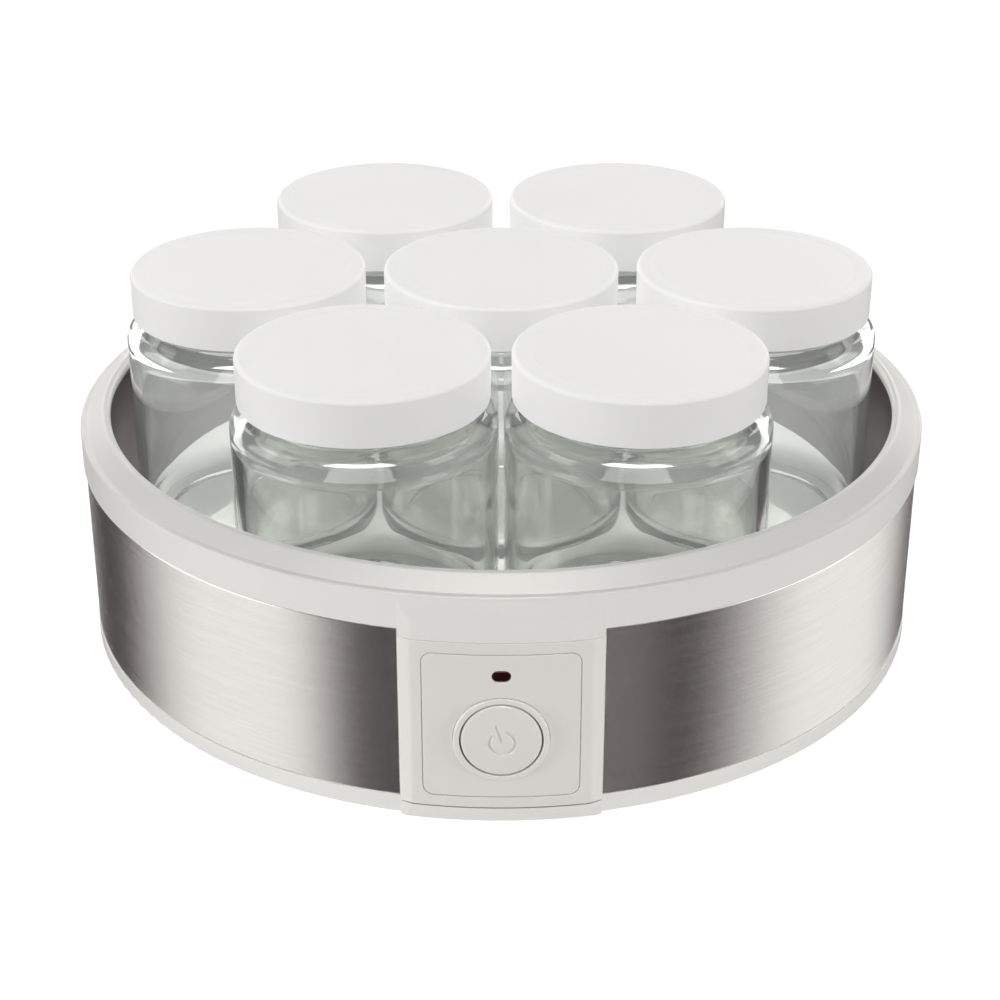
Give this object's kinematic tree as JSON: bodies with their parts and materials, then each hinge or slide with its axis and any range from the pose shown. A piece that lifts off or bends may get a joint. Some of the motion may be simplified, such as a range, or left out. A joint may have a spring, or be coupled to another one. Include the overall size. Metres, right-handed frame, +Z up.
{
  "type": "yogurt maker",
  "caption": "Round electric yogurt maker with a brushed steel band, a push-button panel, a heated tray and glass jars with screw lids.",
  "frame": {"origin": "centre of the footprint, at the height of the table that the rubber feet stand on", "axes": "+Z up; the control panel faces -Y and the cord inlet faces +Y; +X is to the right of someone facing the panel"},
  "size_m": [0.24, 0.2442, 0.1061],
  "materials": {
    "white_moulding": "fine satin moulding",
    "panel_moulding": "fine satin moulding",
    "white_lid": "satin moulding",
    "brushed_steel": "brushed round the housing",
    "dark_steel": "dark satin steel",
    "plate_aluminium": "satin pressed aluminium",
    "clear_glass": "clear pressed glass",
    "seal_foam": "soft foam",
    "red_lens": "dark clear red",
    "black_plastic": "matte",
    "cream_plastic": "matte",
    "blue_plastic": "gloss",
    "circuit_board": "solder mask",
    "zinc_steel": "zinc plated",
    "mica": "layered mica sheet",
    "mineral_wool": "felted fibre",
    "red_wire": "silicone sleeve",
    "brown_wire": "silicone sleeve",
    "rubber_foot": "matte rubber"
  },
  "bodies": {
    "housing": {"upper_rim": "white_moulding", "body_shell": "white_moulding", "tray_support": "white_moulding", "steel_band": "brushed_steel", "inner_liner": "dark_steel", "heating_plate": "plate_aluminium", "clamp_studs": "zinc_steel", "control_fascia": "panel_moulding", "control_plate": "panel_moulding", "led_lens": "red_lens", "button_bezel": "panel_moulding", "tact_switch": "black_plastic", "indicator_led": "red_lens", "control_board": "circuit_board", "board_relay": "blue_plastic", "board_capacitor": "blue_plastic", "board_connector": "cream_plastic", "board_screws": "zinc_steel", "heating_element": "mica", "heater_clamp": "zinc_steel", "clamp_nuts": "zinc_steel", "thermostat": "cream_plastic", "thermal_fuse": "cream_plastic", "insulation_ring": "mineral_wool", "heater_leads": "red_wire", "mains_leads": "brown_wire", "terminal_block": "cream_plastic", "cable_gland": "white_moulding", "insulation_posts": "white_moulding", "bottom_cover": "white_moulding", "cover_screws": "zinc_steel", "rubber_feet": "rubber_foot"},
    "button": {"power_button": "panel_moulding", "switch_plunger": "black_plastic"},
    "jar_1": {"jar_1": "clear_glass"},
    "seal_1": {"lid_seal_1": "seal_foam"},
    "lid_1": {"jar_lid_1": "white_lid"},
    "jar_2": {"jar_2": "clear_glass"},
    "seal_2": {"lid_seal_2": "seal_foam"},
    "lid_2": {"jar_lid_2": "white_lid"},
    "jar_3": {"jar_3": "clear_glass"},
    "seal_3": {"lid_seal_3": "seal_foam"},
    "lid_3": {"jar_lid_3": "white_lid"},
    "jar_4": {"jar_4": "clear_glass"},
    "seal_4": {"lid_seal_4": "seal_foam"},
    "lid_4": {"jar_lid_4": "white_lid"},
    "jar_5": {"jar_5": "clear_glass"},
    "seal_5": {"lid_seal_5": "seal_foam"},
    "lid_5": {"jar_lid_5": "white_lid"},
    "jar_6": {"jar_6": "clear_glass"},
    "seal_6": {"lid_seal_6": "seal_foam"},
    "lid_6": {"jar_lid_6": "white_lid"},
    "jar_7": {"jar_7": "clear_glass"},
    "seal_7": {"lid_seal_7": "seal_foam"},
    "lid_7": {"jar_lid_7": "white_lid"}
  },
  "joints": [
    {"name": "button_press", "type": "slide", "parent": "housing", "child": "button", "axis": [0, 1, 0], "range_m": [0, 0.001], "stiffness_N_per_m": 1500, "springref_m": -0.0005},
    {"name": "jar_1_lift", "type": "slide", "parent": "housing", "child": "jar_1", "axis": [0, 0, 1], "range_m": [0, 0.08]},
    {"name": "lid_1_rise", "type": "slide", "parent": "jar_1", "child": "seal_1", "axis": [0, 0, 1], "range_m": [0, 0.0165]},
    {"name": "lid_1_turn", "type": "hinge", "parent": "seal_1", "child": "lid_1", "pos_m": [0, 0, 0.1], "axis": [0, 0, 1], "range_deg": [0, 420]},
    {"name": "jar_2_lift", "type": "slide", "parent": "housing", "child": "jar_2", "axis": [0, 0, 1], "range_m": [0, 0.08]},
    {"name": "lid_2_rise", "type": "slide", "parent": "jar_2", "child": "seal_2", "axis": [0, 0, 1], "range_m": [0, 0.0165]},
    {"name": "lid_2_turn", "type": "hinge", "parent": "seal_2", "child": "lid_2", "pos_m": [0.0712, 0, 0.1], "axis": [0, 0, 1], "range_deg": [0, 420]},
    {"name": "jar_3_lift", "type": "slide", "parent": "housing", "child": "jar_3", "axis": [0, 0, 1], "range_m": [0, 0.08]},
    {"name": "lid_3_rise", "type": "slide", "parent": "jar_3", "child": "seal_3", "axis": [0, 0, 1], "range_m": [0, 0.0165]},
    {"name": "lid_3_turn", "type": "hinge", "parent": "seal_3", "child": "lid_3", "pos_m": [0.0356, 0.06166, 0.1], "axis": [0, 0, 1], "range_deg": [0, 420]},
    {"name": "jar_4_lift", "type": "slide", "parent": "housing", "child": "jar_4", "axis": [0, 0, 1], "range_m": [0, 0.08]},
    {"name": "lid_4_rise", "type": "slide", "parent": "jar_4", "child": "seal_4", "axis": [0, 0, 1], "range_m": [0, 0.0165]},
    {"name": "lid_4_turn", "type": "hinge", "parent": "seal_4", "child": "lid_4", "pos_m": [-0.0356, 0.06166, 0.1], "axis": [0, 0, 1], "range_deg": [0, 420]},
    {"name": "jar_5_lift", "type": "slide", "parent": "housing", "child": "jar_5", "axis": [0, 0, 1], "range_m": [0, 0.08]},
    {"name": "lid_5_rise", "type": "slide", "parent": "jar_5", "child": "seal_5", "axis": [0, 0, 1], "range_m": [0, 0.0165]},
    {"name": "lid_5_turn", "type": "hinge", "parent": "seal_5", "child": "lid_5", "pos_m": [-0.0712, 0, 0.1], "axis": [0, 0, 1], "range_deg": [0, 420]},
    {"name": "jar_6_lift", "type": "slide", "parent": "housing", "child": "jar_6", "axis": [0, 0, 1], "range_m": [0, 0.08]},
    {"name": "lid_6_rise", "type": "slide", "parent": "jar_6", "child": "seal_6", "axis": [0, 0, 1], "range_m": [0, 0.0165]},
    {"name": "lid_6_turn", "type": "hinge", "parent": "seal_6", "child": "lid_6", "pos_m": [-0.0356, -0.06166, 0.1], "axis": [0, 0, 1], "range_deg": [0, 420]},
    {"name": "jar_7_lift", "type": "slide", "parent": "housing", "child": "jar_7", "axis": [0, 0, 1], "range_m": [0, 0.08]},
    {"name": "lid_7_rise", "type": "slide", "parent": "jar_7", "child": "seal_7", "axis": [0, 0, 1], "range_m": [0, 0.0165]},
    {"name": "lid_7_turn", "type": "hinge", "parent": "seal_7", "child": "lid_7", "pos_m": [0.0356, -0.06166, 0.1], "axis": [0, 0, 1], "range_deg": [0, 420]}
  ],
  "couplings": [
    {"joint": "lid_1_rise", "follows": "lid_1_turn", "m_per_rad": 0.0022282},
    {"joint": "lid_2_rise", "follows": "lid_2_turn", "m_per_rad": 0.0022282},
    {"joint": "lid_3_rise", "follows": "lid_3_turn", "m_per_rad": 0.0022282},
    {"joint": "lid_4_rise", "follows": "lid_4_turn", "m_per_rad": 0.0022282},
    {"joint": "lid_5_rise", "follows": "lid_5_turn", "m_per_rad": 0.0022282},
    {"joint": "lid_6_rise", "follows": "lid_6_turn", "m_per_rad": 0.0022282},
    {"joint": "lid_7_rise", "follows": "lid_7_turn", "m_per_rad": 0.0022282}
  ]
}
